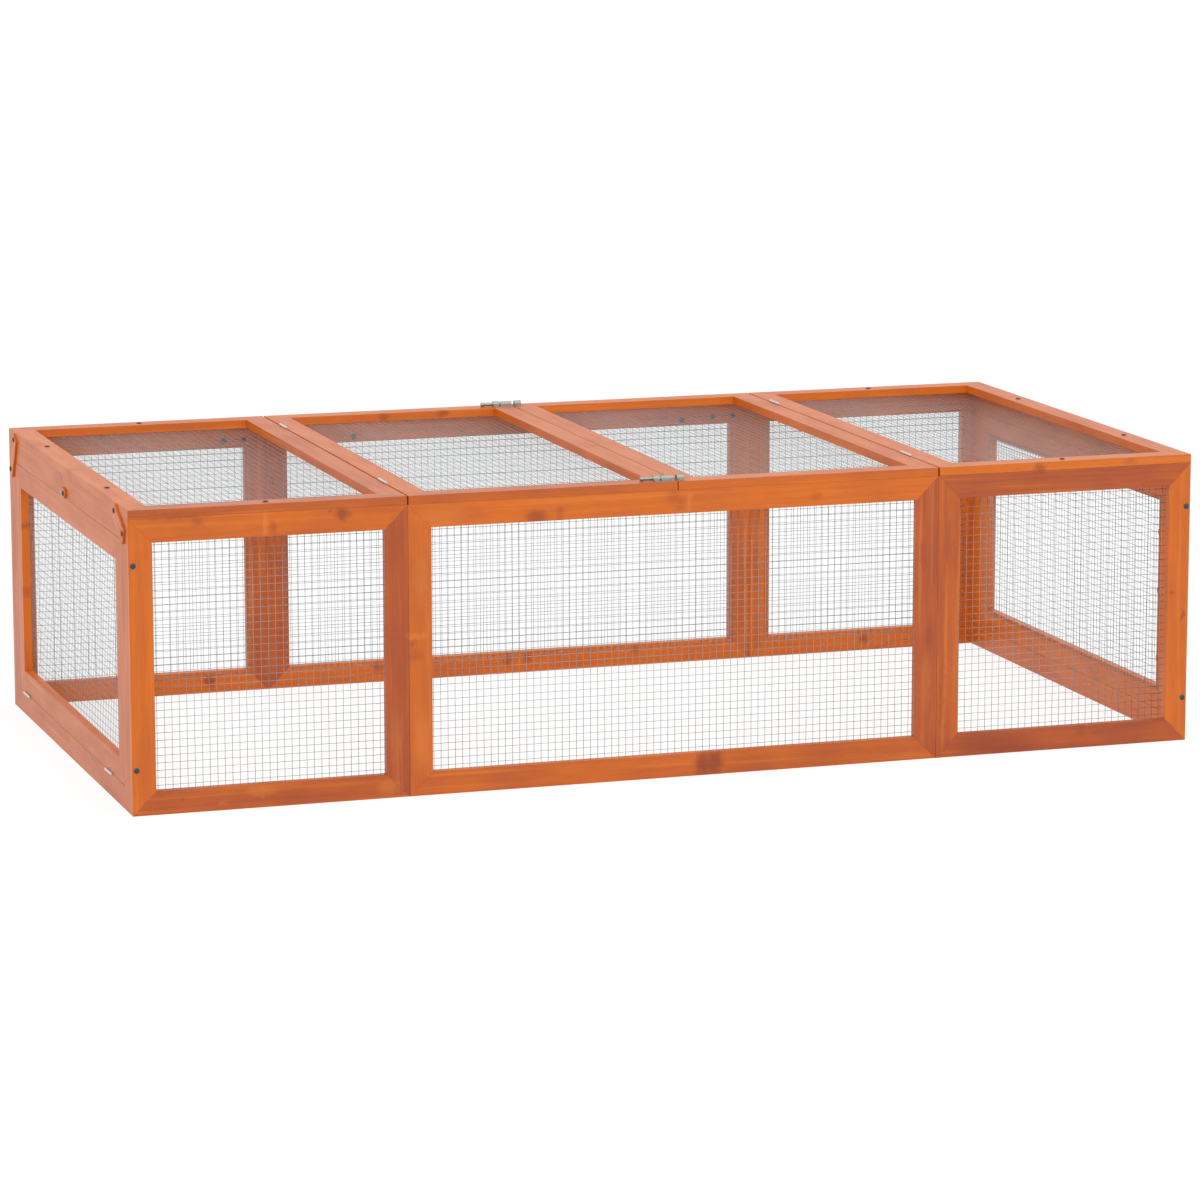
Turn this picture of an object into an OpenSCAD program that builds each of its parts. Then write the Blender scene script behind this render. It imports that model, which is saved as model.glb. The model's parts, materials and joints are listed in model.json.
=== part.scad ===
// Outdoor rabbit run: mitred timber frames with wire netting on their inner faces,
// two lids hinged on fixed outer tops, and a drop-down door in each end.
// Origin: centre of the footprint, on the ground. X runs along the run, Y to the back, Z up.

/* [Run] */
// Width of each outer wall frame and fixed top, along X
outer_w = 450; // [300:1:600]
// Width of the middle wall frames and of the two lids together, along X
middle_w = 900; // [600:1:1200]
// Depth of the run over its front and back walls, along Y
run_d = 912; // [600:1:1200]
// Height of the walls, up to the underside of the tops
wall_h = 470; // [350:1:700]

/* [Boards] */
// Width of every frame board
board_w = 38; // [32:0.5:50]
// Thickness of every frame board
board_t = 14; // [13.5:0.5:18]
// Open glue line between two boards at a mitred corner
mitre_gap = 0.2; // [0.1:0.05:0.5]

/* [Seams] */
// Gap between a fixed top and its lid, which is the width of a closed hinge's two leaves
hinge_gap = 3; // [2.8:0.1:4]
// Gap between the two lids
lid_gap = 1.5; // [1:0.5:4]
// Gap below a door, where the hinge leaves are let into the boards
door_seam = 1; // [0.8:0.1:2.5]
// Gap round the other three sides of a door
door_gap = 1; // [0.8:0.1:4]

/* [Netting] */
// Spacing aimed at for the wires of the netting; each panel divides evenly
net_pitch = 48; // [40:1:90]
// Diameter of one wire
wire_d = 2; // [1:0.1:3]
// Gap between the two layers of wires where they are welded, and between them and the boards
weld_gap = 0.05; // [0.02:0.01:0.1]
// Distance from a frame's outer edge to the edge of its netting
net_inset = 20; // [20:0.5:26]

/* [Hinges] */
// Length of a hinge along its pin
hinge_len = 48; // [30:1:80]
// Thickness of a hinge leaf
leaf_t = 1.2; // [0.8:0.1:1.2]
// Depth of a hinge leaf on the edge of its board
leaf_w = 12.5; // [8:0.5:13]
// Diameter of the screw holes in a hinge leaf
leaf_hole_d = 3.2; // [2.5:0.1:4]
// Distance from a leaf's end to its screw hole
leaf_hole_inset = 9; // [5:0.5:12]
// Outer diameter of the knuckles
knuckle_d = 4.2; // [4:0.1:6]
// Diameter of the hinge pin
hinge_pin_d = 2.2; // [2:0.1:2.6]
// Radial clearance of the pin in its knuckles
pin_clearance = 0.05; // [0.02:0.01:0.1]
// Gap between two knuckles, and between a knuckle and the boards
knuckle_gap = 0.25; // [0.2:0.05:0.5]
// Distance from the front or back of the run to the middle of a lid hinge
lid_hinge_inset = 143; // [80:1:250]
// Distance from the front of the run to the middle of a door's front hinge
door_hinge_front = 161; // [110:1:250]
// Distance from the back of the run to the middle of a door's rear hinge
door_hinge_rear = 116; // [110:1:250]

/* [Turn buttons] */
// Width of a turn button
button_w = 16; // [10:0.5:20]
// Length of a turn button
button_len = 33; // [28:0.5:40]
// Thickness of a turn button
button_t = 3.5; // [2:0.5:6]
// Play between a turn button and the boards behind it, and under its screw's head
button_play = 0.3; // [0.2:0.1:0.6]
// Gap between the door and a turn button turned aside
button_gap = 2; // [1:0.5:4]
// Radial clearance of a turn button on its screw
button_clearance = 0.1; // [0.05:0.01:0.1]

/* [Ties] */
// Width of the plates that tie the tops to the end frames
tie_w = 26; // [14:0.5:27]
// Distance from a tie's screws to its outer long edge
tie_edge = 10; // [8:0.5:10]
// Thickness of a tie plate
tie_t = 3.5; // [2:0.5:6]
// Distance between a tie's two screws
tie_screw_pitch = 63; // [50:1:80]
// Distance from a tie's screw to the plate's end
tie_end = 5.5; // [5:0.5:10]
// Distance from the upper face of the tops down to a tie's upper screw
tie_screw_drop = 12; // [11:0.5:12]
// Distance from the front of the run to the front tie's upper screw
front_tie_inset = 82; // [76:1:120]
// Tilt of the front tie down towards the front corner
front_tie_tilt = 26; // [20:1:60]
// Distance from the back of the run to the rear tie's upper screw
rear_tie_inset = 56; // [50:1:120]
// Tilt of the rear tie down towards the back corner
rear_tie_tilt = 61; // [40:1:70]

/* [Screws] */
// Diameter of a screw's shank
screw_d = 3.5; // [3:0.1:4]
// Diameter of a screw's head
head_d = 9; // [7:0.5:10]
// Height of a screw's head
head_h = 2.2; // [1:0.1:3]
// Radial clearance of a shank in its hole
screw_clearance = 0.05; // [0.02:0.01:0.1]
// Length of the screws through the walls into the end frames
wall_screw_len = 40; // [30:1:45]
// Length of the screws in the fixed tops, and of the tie and turn button screws in the wood
short_screw_len = 12; // [8:0.5:12.5]
// Height of the lower wall screws, and distance of the upper ones from the wall's top
wall_screw_inset = 73; // [50:1:150]

/* [Barrel bolts] */
// Length of the bolt's plate
bolt_plate_l = 34; // [25:1:60]
// Width of the plates of bolt and keeper
bolt_plate_w = 24; // [16:1:30]
// Thickness of the plates
bolt_plate_t = 1; // [0.8:0.1:2]
// Diameter of the bolt's rod
rod_d = 6; // [4:0.5:8]
// Radial clearance of the rod in barrel and keeper
rod_clearance = 0.15; // [0.1:0.05:0.3]
// Wall of the barrel
barrel_wall = 1.1; // [0.8:0.1:2]
// Wall of the heavier straps: the one at the knob's end and the keeper
strap_wall = 1.7; // [1:0.1:2.5]
// Length of the strap at the knob's end
strap_l = 11; // [6:0.5:15]
// Notch between that strap and the barrel, where the rod shows
strap_notch = 2.5; // [1:0.5:5]
// Diameter of the screw holes in the plates
plate_hole_d = 3; // [2:0.1:3.2]
// Metal left between the screw holes and the ends of the bolt's plate
plate_hole_edge = 1.5; // [1:0.1:3]
// Diameter of the knob on the rod
knob_d = 7.6; // [6:0.1:8]
// Length of the knob on the rod
knob_l = 6; // [4:0.5:10]
// Chamfer round both ends of the knob
knob_chamfer = 0.8; // [0.3:0.1:1.5]
// Gap left between knob and barrel when the rod is locked
knob_gap = 2; // [1:0.5:4]
// Length of the keeper
keeper_l = 12; // [8:1:20]
// Distance from a lid's free edge to the plate of the bolt or keeper on it
bolt_edge = 2; // [1:0.5:5]
// Travel of the rod, from drawn back to locked
bolt_travel = 14; // [12:0.5:20]
// Distance from the front or back of the run to the middle of a bolt
bolt_inset = 19; // [16:0.5:22]

/* [Hidden] */
run_w = 2 * outer_w + middle_w;
top_z = wall_h + board_t;
fixed_top_w = outer_w - hinge_gap / 2;
lid_w = (middle_w - hinge_gap - lid_gap) / 2;
lid_x = -middle_w / 2 + hinge_gap / 2;
end_w = run_d - 2 * board_t;
door_w = end_w - 2 * board_w - 2 * door_gap;
door_z = board_w + door_seam;
door_h = wall_h - board_w - door_gap - door_z;
wire_r = wire_d / 2;
net_t = 2 * wire_d + 3 * weld_gap;
// Middles of the front and the rear hinge of each lid and each door
lid_hinge_ys = [-run_d / 2 + lid_hinge_inset, run_d / 2 - lid_hinge_inset];
door_hinge_ys = [-run_d / 2 + door_hinge_front, run_d / 2 - door_hinge_rear];
// Hinge: knuckles stand clear of the edges of both boards
knuckle_count = 5;
knuckle_l = (hinge_len - (knuckle_count - 1) * knuckle_gap) / knuckle_count;
knuckle_r = knuckle_d / 2;
pin_bore_r = hinge_pin_d / 2 + pin_clearance;
knuckle_rise = sqrt(pow(knuckle_r + knuckle_gap, 2) - pow(hinge_gap / 2, 2));
leaf_root_z = -(pin_bore_r + knuckle_gap / 2);
leaf_hole_y = hinge_len / 2 - leaf_hole_inset;
// Turn button: its pivot stands above the door so that the button clears it when turned aside
button_z = door_z + door_h + button_gap + button_w / 2;
button_reach = button_len - button_w;
// Screws
screw_hole_r = screw_d / 2 + screw_clearance;
wall_screw_zs = [wall_screw_inset, wall_h - wall_screw_inset];
tie_screw_z = top_z - tie_screw_drop;
// Barrel bolt, above the lid's upper face
rod_r = rod_d / 2;
barrel_r = rod_r + rod_clearance;
knob_r = knob_d / 2;
plate_hole_y = (barrel_r + strap_wall + bolt_plate_w / 2) / 2;
plate_hole_x = plate_hole_d / 2 + plate_hole_edge;
rod_z = bolt_plate_t + barrel_r;
rod_tip_x = -lid_gap / 2 - bolt_edge;
rod_l = bolt_plate_l + bolt_travel + knob_gap + knob_l;
bolt_y = run_d / 2 - bolt_inset;
$fn = 48;

// ---- Placing -----------------------------------------------------------

// The left end as it is, or mirrored to the right end
module at_right() mirror([1, 0, 0]) children();
// The front as it is, or mirrored to the back
module at_back() mirror([0, 1, 0]) children();
module both_ends() {
    children();
    at_right() children();
}
module front_and_back() {
    children();
    at_back() children();
}
// From a panel drawn flat to one standing in the front wall, its outer face to the front
module in_front_wall(depth) translate([0, -run_d / 2 + depth, 0]) rotate([90, 0, 0]) children();
// From a panel drawn flat to one standing in the left end, its outer face to the left
module in_left_end(depth) translate([-run_w / 2 + depth, 0, 0]) rotate([90, 0, 90]) children();

// ---- Frames ------------------------------------------------------------

// One board with both ends mitred, its outer edge along X from the origin
module mitred_board(length) {
    glue = mitre_gap / sqrt(2);
    linear_extrude(board_t)
        polygon([
            [glue, 0], [length - glue, 0],
            [length - board_w - glue, board_w], [board_w + glue, board_w]
        ]);
}

// Four mitred boards round a panel of w by h, lying flat with a corner at the origin
module frame(w, h) {
    color("#c96f42") {
        mitred_board(w);
        translate([w, h]) rotate(180) mitred_board(w);
    }
    color("#d27a48") {
        translate([w, 0]) rotate(90) mitred_board(h);
        translate([0, h]) rotate(-90) mitred_board(h);
    }
}

// Welded netting for a frame of w by h, lying flat, set in from the frame's edges:
// a layer of wires along Y below a layer of wires along X
module netting(w, h) {
    span = [w - 2 * net_inset, h - 2 * net_inset];
    gaps = [for (s = span) floor((s - wire_d) / net_pitch)];
    step = [for (i = [0, 1]) (span[i] - wire_d) / gaps[i]];
    color("#8d9296")
        translate([net_inset, net_inset, weld_gap + wire_r]) {
            for (i = [0:gaps[0]])
                translate([wire_r + i * step[0], 0, 0])
                    rotate([-90, 0, 0]) cylinder(h = span[1], r = wire_r);
            for (i = [0:gaps[1]])
                translate([0, wire_r + i * step[1], wire_d + weld_gap])
                    rotate([0, 90, 0]) cylinder(h = span[0], r = wire_r);
        }
}

module outer_wall_frame() {
    difference() {
        in_front_wall(board_t) translate([-run_w / 2, 0]) frame(outer_w, wall_h);
        left_front_wall_screws_at() screw_hole(board_t);
    }
}
module middle_wall_frame() in_front_wall(board_t) translate([-middle_w / 2, 0]) frame(middle_w, wall_h);
module outer_wall_netting() {
    in_front_wall(board_t + net_t) translate([-run_w / 2, 0]) netting(outer_w, wall_h);
}
module middle_wall_netting() {
    in_front_wall(board_t + net_t) translate([-middle_w / 2, 0]) netting(middle_w, wall_h);
}

module front_left_frame() outer_wall_frame();
module front_middle_frame() middle_wall_frame();
module front_right_frame() at_right() outer_wall_frame();
module back_left_frame() at_back() outer_wall_frame();
module back_middle_frame() at_back() middle_wall_frame();
module back_right_frame() at_back() at_right() outer_wall_frame();
module front_left_netting() outer_wall_netting();
module front_middle_netting() middle_wall_netting();
module front_right_netting() at_right() outer_wall_netting();
module back_left_netting() at_back() outer_wall_netting();
module back_middle_netting() at_back() middle_wall_netting();
module back_right_netting() at_back() at_right() outer_wall_netting();

// The end frame stands between the front and back walls, and the door hangs inside it
module left_end_frame() {
    difference() {
        in_left_end(0) translate([-end_w / 2, 0]) frame(end_w, wall_h);
        front_and_back() left_front_wall_screws_at() screw_hole(wall_screw_len);
        left_lower_tie_screws_at() screw_hole(short_screw_len + tie_t);
        left_button_pivot_at() screw_hole(short_screw_len);
        at_left_door_hinges() hinge_pocket();
    }
}
module right_end_frame() at_right() left_end_frame();
module left_door_frame() {
    difference() {
        in_left_end(0) translate([-door_w / 2, door_z]) frame(door_w, door_h);
        at_left_door_hinges() hinge_pocket();
    }
}
module right_door_frame() at_right() left_door_frame();
module left_door_netting() {
    in_left_end(board_t) translate([-door_w / 2, door_z]) netting(door_w, door_h);
}
module right_door_netting() at_right() left_door_netting();

// Fixed tops lie on the walls, and the lids between them
module left_top_frame() {
    difference() {
        translate([-run_w / 2, -run_d / 2, wall_h]) frame(fixed_top_w, run_d);
        left_top_screws_at() screw_hole(short_screw_len);
        left_upper_tie_screws_at() screw_hole(short_screw_len + tie_t);
    }
}
module right_top_frame() at_right() left_top_frame();
module left_lid_frame() translate([lid_x, -run_d / 2, wall_h]) frame(lid_w, run_d);
module right_lid_frame() at_right() left_lid_frame();
module left_top_netting() translate([-run_w / 2, -run_d / 2, wall_h - net_t]) netting(fixed_top_w, run_d);
module right_top_netting() at_right() left_top_netting();
module left_lid_netting() translate([lid_x, -run_d / 2, wall_h - net_t]) netting(lid_w, run_d);
module right_lid_netting() at_right() left_lid_netting();

// ---- Hinges ------------------------------------------------------------

// A hinge is drawn with its pin along Y at the origin, the gap between the boards below it,
// the fixed board at -X and the moving board at +X
module hinge_leaf(first) {
    color("#c9cbcb") {
        for (i = [first:2:knuckle_count - 1])
            translate([0, -hinge_len / 2 + i * (knuckle_l + knuckle_gap), 0])
                difference() {
                    union() {
                        rotate([-90, 0, 0]) cylinder(h = knuckle_l, r = knuckle_r);
                        translate([-hinge_gap / 2, 0, -knuckle_r - 2 * knuckle_gap])
                            cube([leaf_t, knuckle_l, knuckle_r + 2 * knuckle_gap + leaf_root_z]);
                    }
                    translate([0, -1, 0]) rotate([-90, 0, 0]) cylinder(h = knuckle_l + 2, r = pin_bore_r);
                }
        difference() {
            translate([-hinge_gap / 2, -hinge_len / 2, -knuckle_rise - leaf_w])
                cube([leaf_t, hinge_len, leaf_w + knuckle_rise - knuckle_r - knuckle_gap]);
            for (y = [-leaf_hole_y, leaf_hole_y])
                translate([-hinge_gap / 2 - 1, y, -knuckle_rise - leaf_w / 2])
                    rotate([0, 90, 0]) cylinder(h = leaf_t + 2, d = leaf_hole_d);
        }
    }
}
module hinge_fixed_leaf() hinge_leaf(0);
module hinge_moving_leaf() mirror([1, 0, 0]) hinge_leaf(1);
module hinge_pin() {
    color("#b4b7b8")
        translate([0, -hinge_len / 2, 0]) rotate([-90, 0, 0]) cylinder(h = hinge_len, d = hinge_pin_d);
}
// What is cut from the two boards where the seam between them is narrower than the closed leaves
module hinge_pocket() {
    translate([-hinge_gap / 2, -hinge_len / 2 - knuckle_gap, -knuckle_rise - leaf_w])
        cube([hinge_gap, hinge_len + 2 * knuckle_gap, leaf_w + knuckle_rise]);
}

module at_left_lid_hinges() {
    for (y = lid_hinge_ys)
        translate([-middle_w / 2, y, top_z + knuckle_rise]) children();
}
module at_left_door_hinges() {
    for (y = door_hinge_ys)
        translate([-run_w / 2 - knuckle_rise, y, board_w + door_seam / 2]) rotate([0, -90, 0]) children();
}
module left_lid_hinge_fixed_leaves() at_left_lid_hinges() hinge_fixed_leaf();
module left_lid_hinge_moving_leaves() at_left_lid_hinges() hinge_moving_leaf();
module left_lid_hinge_pins() at_left_lid_hinges() hinge_pin();
module right_lid_hinge_fixed_leaves() at_right() left_lid_hinge_fixed_leaves();
module right_lid_hinge_moving_leaves() at_right() left_lid_hinge_moving_leaves();
module right_lid_hinge_pins() at_right() left_lid_hinge_pins();
module left_door_hinge_fixed_leaves() at_left_door_hinges() hinge_fixed_leaf();
module left_door_hinge_moving_leaves() at_left_door_hinges() hinge_moving_leaf();
module left_door_hinge_pins() at_left_door_hinges() hinge_pin();
module right_door_hinge_fixed_leaves() at_right() left_door_hinge_fixed_leaves();
module right_door_hinge_moving_leaves() at_right() left_door_hinge_moving_leaves();
module right_door_hinge_pins() at_right() left_door_hinge_pins();

// ---- Screws ------------------------------------------------------------

// A screw is drawn with the underside of its head at the origin and its shank down along -Z
module screw(length) {
    color("#3c4448") {
        rotate_extrude()
            intersection() {
                translate([0, head_h - dome_r()]) circle(r = dome_r(), $fn = 96);
                square([head_d / 2, head_h]);
            }
        translate([0, 0, -length]) cylinder(h = length, d = screw_d);
    }
}
// Radius of a head's dome, which leaves the head a rim a third as high as the head
function dome_r() = let (rise = head_h * 2 / 3) (pow(head_d / 2, 2) + rise * rise) / (2 * rise);
module screw_hole(length) translate([0, 0, -length - 1]) cylinder(h = length + 2, r = screw_hole_r);

// Through the front wall's outer board into the edge of the left end frame
module left_front_wall_screws_at() {
    for (z = wall_screw_zs)
        translate([-run_w / 2 + board_t / 2, -run_d / 2, z]) rotate([90, 0, 0]) children();
}
// Down into the left fixed top: two in its end board, one in its front and one in its back board
module left_top_screws_at() {
    for (y = [-run_d / 4, run_d / 4])
        translate([-run_w / 2 + board_w / 2, y, top_z]) children();
    for (y = [-1, 1])
        translate([-run_w / 2 + fixed_top_w / 2, y * (run_d - board_w) / 2, top_z]) children();
}
// On the left end's outer face: a place at y, z with Z pointing out of the face
module on_left_end(y, z, proud = 0) translate([-run_w / 2 - proud, y, z]) rotate([0, -90, 0]) children();
module left_button_pivot_at(proud = 0) on_left_end(0, button_z, proud) children();
module left_upper_tie_screws_at(proud = 0) {
    on_left_end(-run_d / 2 + front_tie_inset, tie_screw_z, proud) children();
    on_left_end(run_d / 2 - rear_tie_inset, tie_screw_z, proud) children();
}
module left_lower_tie_screws_at(proud = 0) {
    on_left_end(
        -run_d / 2 + front_tie_inset - tie_screw_pitch * cos(front_tie_tilt),
        tie_screw_z - tie_screw_pitch * sin(front_tie_tilt), proud) children();
    on_left_end(
        run_d / 2 - rear_tie_inset + tie_screw_pitch * cos(rear_tie_tilt),
        tie_screw_z - tie_screw_pitch * sin(rear_tie_tilt), proud) children();
}
module wall_screws() both_ends() front_and_back() left_front_wall_screws_at() screw(wall_screw_len);
module top_screws() both_ends() left_top_screws_at() screw(short_screw_len);
module tie_screws() {
    both_ends() {
        left_upper_tie_screws_at(tie_t) screw(short_screw_len + tie_t);
        left_lower_tie_screws_at(tie_t) screw(short_screw_len + tie_t);
    }
}
module turn_button_screws() {
    proud = button_t + 2 * button_play;
    both_ends() left_button_pivot_at(proud) screw(short_screw_len + proud);
}

// ---- Ties and turn buttons ----------------------------------------------

// A tie plate lying flat, from its upper screw at the origin to its lower one along -Y,
// with its outer long edge at +X
module tie_plate() {
    color("#c4622a")
        difference() {
            translate([tie_edge - tie_w, -tie_screw_pitch - tie_end, 0])
                cube([tie_w, tie_screw_pitch + 2 * tie_end, tie_t]);
            for (y = [0, -tie_screw_pitch])
                translate([0, y, tie_t]) screw_hole(tie_t);
        }
}
module left_end_ties() {
    on_left_end(-run_d / 2 + front_tie_inset, tie_screw_z) rotate(-front_tie_tilt) tie_plate();
    on_left_end(run_d / 2 - rear_tie_inset, tie_screw_z)
        rotate(180 + rear_tie_tilt) mirror([1, 0, 0]) tie_plate();
}
module right_end_ties() at_right() left_end_ties();

// A turn button is round at both ends and rests turned aside, pointing to the back
module left_turn_button() {
    color("#c4622a")
        left_button_pivot_at(button_play)
            linear_extrude(button_t)
                difference() {
                    union() {
                        for (y = [0, button_reach])
                            translate([0, y]) circle(d = button_w);
                        translate([-button_w / 2, 0]) square([button_w, button_reach]);
                    }
                    circle(r = screw_d / 2 + button_clearance);
                }
}
module right_turn_button() at_right() left_turn_button();

// ---- Barrel bolts --------------------------------------------------------

// A pressed strap over the rod: half round above the rod's centre, straight sides down to the plate
module rod_strap(length, wall) {
    outer_r = barrel_r + wall;
    rotate([90, 0, 90])
        linear_extrude(length)
            difference() {
                union() {
                    translate([0, rod_z]) circle(r = outer_r);
                    translate([-outer_r, 0]) square([2 * outer_r, rod_z]);
                }
                translate([0, rod_z]) circle(r = barrel_r);
                translate([-outer_r - 1, -outer_r - 1]) square([2 * outer_r + 2, outer_r + 1]);
            }
}
// A plate with a pair of screw holes at each of the places xs along it
module bolt_plate(length, xs) {
    difference() {
        translate([0, -bolt_plate_w / 2, 0]) cube([length, bolt_plate_w, bolt_plate_t]);
        for (x = xs, y = [-1, 1])
            translate([x, y * plate_hole_y, -1]) cylinder(h = bolt_plate_t + 2, d = plate_hole_d);
    }
}
// The bolts lie on the left lid, and their keepers on the right lid
module at_front_bolt() translate([0, -bolt_y, top_z]) children();
module bolt_barrel() {
    color("#9aa0a3")
        translate([-lid_gap / 2 - bolt_edge - bolt_plate_l, 0, 0]) {
            rod_strap(strap_l, strap_wall);
            translate([strap_l + strap_notch, 0, 0])
                rod_strap(bolt_plate_l - strap_l - strap_notch, barrel_wall);
            bolt_plate(bolt_plate_l, [plate_hole_x, bolt_plate_l - plate_hole_x]);
        }
}
module bolt_keeper() {
    color("#9aa0a3")
        translate([lid_gap / 2 + bolt_edge, 0, 0]) {
            rod_strap(keeper_l, strap_wall);
            bolt_plate(keeper_l, [keeper_l / 2]);
        }
}
// The rod rests drawn back, its tip flush with the end of its barrel
module bolt_rod() {
    color("#a9aeb0")
        translate([rod_tip_x - rod_l, 0, rod_z]) rotate([0, 90, 0]) {
            rotate_extrude()
                polygon([
                    [0, 0], [knob_r - knob_chamfer, 0], [knob_r, knob_chamfer],
                    [knob_r, knob_l - knob_chamfer], [knob_r - knob_chamfer, knob_l], [0, knob_l]
                ]);
            cylinder(h = rod_l, r = rod_r);
        }
}
module front_bolt_barrel() at_front_bolt() bolt_barrel();
module front_bolt_rod() at_front_bolt() bolt_rod();
module front_bolt_keeper() at_front_bolt() bolt_keeper();
module rear_bolt_barrel() at_back() front_bolt_barrel();
module rear_bolt_rod() at_back() front_bolt_rod();
module rear_bolt_keeper() at_back() front_bolt_keeper();

// ---- The whole run -------------------------------------------------------

front_left_frame();
front_middle_frame();
front_right_frame();
back_left_frame();
back_middle_frame();
back_right_frame();
left_end_frame();
right_end_frame();
left_door_frame();
right_door_frame();
left_top_frame();
right_top_frame();
left_lid_frame();
right_lid_frame();
front_left_netting();
front_middle_netting();
front_right_netting();
back_left_netting();
back_middle_netting();
back_right_netting();
left_door_netting();
right_door_netting();
left_top_netting();
right_top_netting();
left_lid_netting();
right_lid_netting();
left_lid_hinge_fixed_leaves();
left_lid_hinge_moving_leaves();
left_lid_hinge_pins();
right_lid_hinge_fixed_leaves();
right_lid_hinge_moving_leaves();
right_lid_hinge_pins();
left_door_hinge_fixed_leaves();
left_door_hinge_moving_leaves();
left_door_hinge_pins();
right_door_hinge_fixed_leaves();
right_door_hinge_moving_leaves();
right_door_hinge_pins();
front_bolt_barrel();
front_bolt_rod();
front_bolt_keeper();
rear_bolt_barrel();
rear_bolt_rod();
rear_bolt_keeper();
left_turn_button();
right_turn_button();
turn_button_screws();
left_end_ties();
right_end_ties();
tie_screws();
wall_screws();
top_screws();
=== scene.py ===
import json
import math
import random

import bmesh
import bpy
from bpy.props import FloatProperty, FloatVectorProperty, PointerProperty
from mathutils import Matrix, Quaternion, Vector


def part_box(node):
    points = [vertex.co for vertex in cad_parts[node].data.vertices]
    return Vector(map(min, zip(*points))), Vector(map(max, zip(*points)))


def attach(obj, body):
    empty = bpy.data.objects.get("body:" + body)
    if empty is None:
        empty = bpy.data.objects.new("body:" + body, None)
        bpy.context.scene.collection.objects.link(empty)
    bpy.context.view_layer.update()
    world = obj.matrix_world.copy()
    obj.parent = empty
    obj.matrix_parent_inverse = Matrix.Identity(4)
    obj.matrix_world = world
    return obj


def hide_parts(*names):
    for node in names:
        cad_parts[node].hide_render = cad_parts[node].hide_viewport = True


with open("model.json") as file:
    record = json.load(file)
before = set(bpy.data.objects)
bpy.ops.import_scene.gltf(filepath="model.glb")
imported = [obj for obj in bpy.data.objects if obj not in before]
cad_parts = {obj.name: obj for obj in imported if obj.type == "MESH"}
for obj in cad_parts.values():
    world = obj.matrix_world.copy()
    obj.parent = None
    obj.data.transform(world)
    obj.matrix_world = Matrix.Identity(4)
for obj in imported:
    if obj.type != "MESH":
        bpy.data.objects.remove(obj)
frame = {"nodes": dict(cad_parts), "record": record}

bl_info = {
    "name": "Outdoor Rabbit Run",
    "version": (1, 0, 0),
    "blender": (4, 5, 0),
    "location": "View3D > Sidebar > Rabbit Run",
    "description": "Builds the boards, netting and hardware of a timber rabbit run on its fixed frame",
    "category": "Object",
}

MM = 0.001
X, Y, Z = range(3)
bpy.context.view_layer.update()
LEFT_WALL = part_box("left_end_frame")[0].x  # the run's left side, without what stands proud of it
BODY_OF = {
    node: body
    for body, nodes in frame["record"]["behaviour"]["bodies"].items()
    for node in nodes
}
PANELS = (
    "front_left", "front_middle", "front_right",
    "back_left", "back_middle", "back_right",
    "left_door", "right_door", "left_top", "right_top", "left_lid", "right_lid",
)
FRAMES = PANELS + ("left_end", "right_end")

# How red the stain has gone in each board, from 0, orange, to 1, red-brown. The boards of a
# frame are its low one, its high one, and the first and last ones that stand between them.
BOARD_TONES = {
    "front_left": (0.68, 0.18, 0.05, 0.8),
    "front_middle": (0.36, 0.08, 0.28, 0.78),
    "front_right": (0.8, 0.8, 0.6, 0.12),
    "back_left": (0.0, 0.1, 0.2, 0.6),
    "back_middle": (0.0, 0.1, 0.65, 0.35),
    "back_right": (0.0, 0.1, 0.3, 0.15),
    "left_top": (0.55, 0.2, 0.15, 0.3),
    "right_top": (0.0, 0.15, 0.1, 0.2),
    "left_lid": (0.45, 0.15, 0.15, 0.2),
    "right_lid": (0.2, 0.1, 0.2, 0.2),
    "right_end": (0.0, 0.1, 0.05, 0.1),
    "right_door": (0.0, 0.1, 0.05, 0.1),
    "left_end": (0.3, 0.25, 0.35, 0.45),
    "left_door": (0.25, 0.2, 0.2, 0.15),
}

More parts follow.
